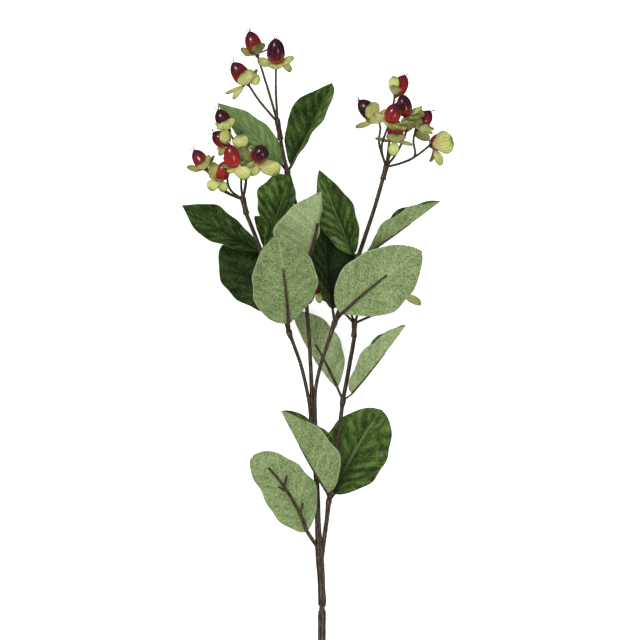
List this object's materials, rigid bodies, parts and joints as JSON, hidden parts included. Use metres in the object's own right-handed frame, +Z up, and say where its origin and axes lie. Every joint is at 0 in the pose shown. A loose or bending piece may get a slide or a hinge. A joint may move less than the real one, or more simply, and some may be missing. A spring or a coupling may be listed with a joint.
{
  "type": "artificial hypericum berry stem",
  "caption": "Leafy branched flower stem, cut and lying flat, with glossy berries in heads of leafy cups at the branch ends.",
  "frame": {"origin": "centre of the bounding box, at the height of the surface that the stem lies on", "axes": "+Y along the stem from its cut end to its top, +Z up from the surface it lies on, +X to its right seen from above"},
  "size_m": [0.2048, 0.5496, 0.0655],
  "materials": {
    "bark": "matt dark brown plastic over wire, grooved lengthwise",
    "leaf_face": "dark green printed woven fabric, slightly glossy",
    "leaf_back": "pale sage green matt woven fabric",
    "berry_head": "glossy lacquer on the berries, matt yellow-green calyces"
  },
  "bodies": {
    "root": {"lower_stem": "bark", "main_stem": "bark", "left_branch": "bark", "right_branch": "bark", "side_branch": "bark", "leaf_bottom": "leaf_back", "leaf_side_low_left": "leaf_back", "leaf_side_low_right": "leaf_face", "leaf_side_high_left": "leaf_back", "leaf_side_high_right": "leaf_back", "leaf_left_low_front": "leaf_back", "leaf_left_low_back": "leaf_face", "leaf_left_high_left": "leaf_face", "leaf_left_high_right": "leaf_face", "leaf_middle_low_front": "leaf_back", "leaf_middle_low_back": "leaf_face", "leaf_middle_high_left": "leaf_face", "leaf_middle_high_right": "leaf_face", "leaf_right_low_back": "leaf_face", "leaf_right_low_front": "leaf_back", "leaf_right_high_left": "leaf_face", "leaf_right_high_right": "leaf_back", "berry_head_top": "berry_head", "berry_head_left": "berry_head", "berry_head_right": "berry_head", "berry_head_side": "berry_head"}
  },
  "joints": []
}
